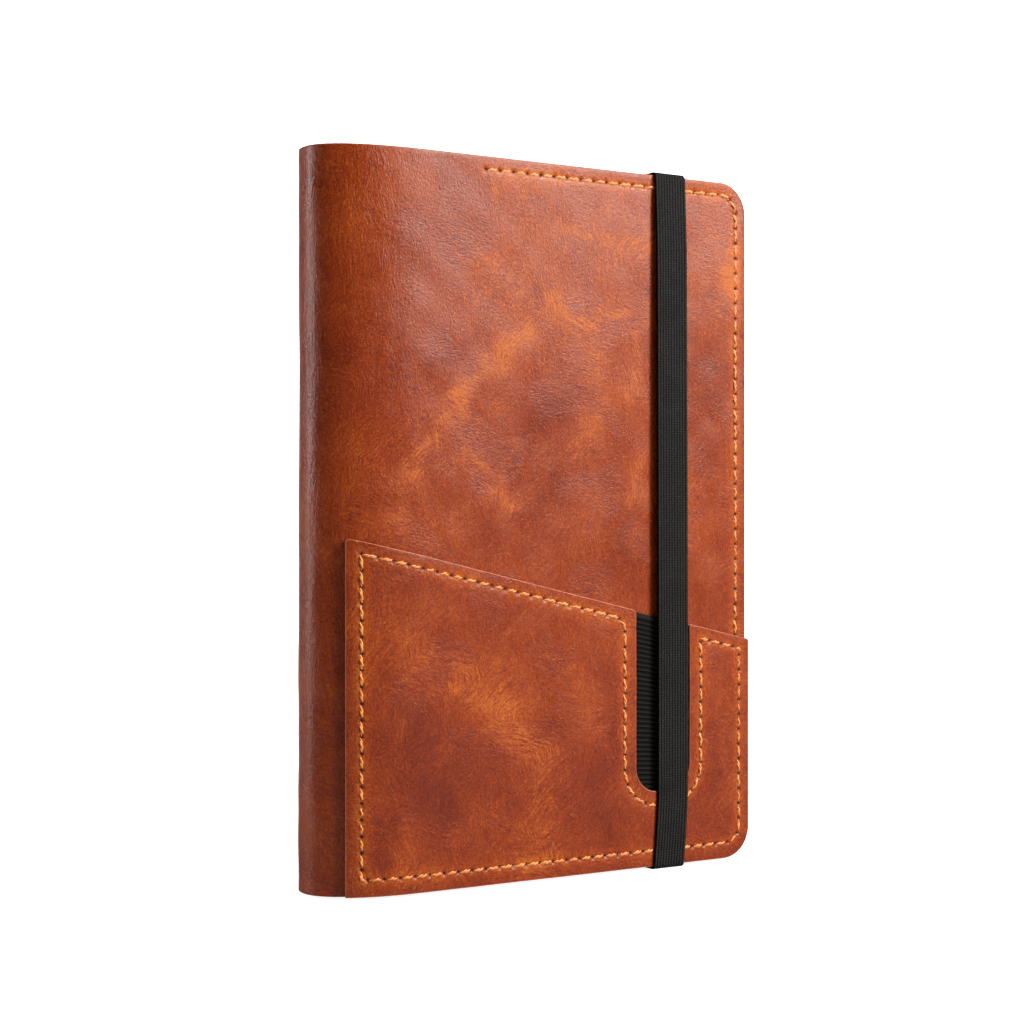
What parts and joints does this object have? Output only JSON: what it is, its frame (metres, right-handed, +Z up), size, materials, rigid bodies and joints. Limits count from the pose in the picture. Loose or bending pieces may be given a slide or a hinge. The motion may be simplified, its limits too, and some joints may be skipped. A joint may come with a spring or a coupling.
{
  "type": "leather notebook cover",
  "caption": "Upright leather notebook cover with an outside pocket, pen slot and elastic closure, opening flat on two spine folds around a hardbound notebook.",
  "frame": {"origin": "under the middle of the object, at the lowest point of the elastic band that it stands on", "axes": "+Z up along the spine, front cover towards -Y, spine towards -X, fore-edge towards +X"},
  "size_m": [0.153, 0.0348, 0.222],
  "materials": {
    "cover_leather": "waxed pull-up leather, satin, mottled tan and red-brown",
    "pocket_leather": "waxed pull-up leather, satin, scuffed, raw cut edges",
    "pocket_lining": "thin split leather, matte",
    "sleeve_leather": "smooth lining leather, satin",
    "thread": "thick waxed sewing thread",
    "woven_elastic": "woven elastic webbing, lengthwise ribs",
    "ribbed_elastic": "corded elastic, cross ribs",
    "book_cloth": "cloth-covered board",
    "paper": "uncoated cream paper",
    "headband_cloth": "woven headband"
  },
  "bodies": {
    "back_cover": {"back_cover_panel": "cover_leather", "back_inner_sleeve": "sleeve_leather", "back_perimeter_thread": "thread", "back_sleeve_thread": "thread", "band_upper_tail": "woven_elastic", "band_lower_tail": "woven_elastic", "notebook_back_board": "book_cloth", "back_endpaper": "paper", "page_section_4": "paper", "page_section_5": "paper", "page_section_6": "paper"},
    "spine": {"spine_panel": "cover_leather", "notebook_spine_strip": "book_cloth", "headband_top": "headband_cloth", "headband_bottom": "headband_cloth"},
    "front_cover": {"front_cover_panel": "cover_leather", "front_pocket_panel": "pocket_leather", "front_pocket_lining": "pocket_lining", "pen_loop_elastic": "ribbed_elastic", "front_inner_sleeve": "sleeve_leather", "front_perimeter_thread": "thread", "pocket_thread": "thread", "front_sleeve_thread": "thread", "notebook_front_board": "book_cloth", "front_endpaper": "paper", "page_section_1": "paper", "page_section_2": "paper", "page_section_3": "paper"},
    "band_arm": {"band_top_leg": "woven_elastic", "band_bottom_leg": "woven_elastic"},
    "band_run": {"band_front_run": "woven_elastic"}
  },
  "joints": [
    {"name": "back_fold", "type": "hinge", "parent": "back_cover", "child": "spine", "pos_m": [-0.0734, 0.00945, 0.111], "axis": [0, 0, -1], "range_deg": [0, 90]},
    {"name": "front_fold", "type": "hinge", "parent": "spine", "child": "front_cover", "pos_m": [-0.0734, -0.00655, 0.111], "axis": [0, 0, -1], "range_deg": [0, 90]},
    {"name": "band_swing", "type": "hinge", "parent": "back_cover", "child": "band_arm", "pos_m": [0.0441, 0.01515, 0.111], "axis": [0, 0, 1], "range_deg": [0, 180], "deforming": ["band_top_leg", "band_bottom_leg"]},
    {"name": "band_draw", "type": "slide", "parent": "band_arm", "child": "band_run", "axis": [0, 1, 0], "range_m": [0, 0.0272], "deforming": ["band_front_run"]}
  ],
  "couplings": [
    {"joint": "front_fold", "follows": "back_fold", "ratio": 1},
    {"joint": "band_swing", "follows": "back_fold", "ratio": 2},
    {"joint": "band_draw", "follows": "back_fold", "m_per_rad": 0.0173}
  ]
}
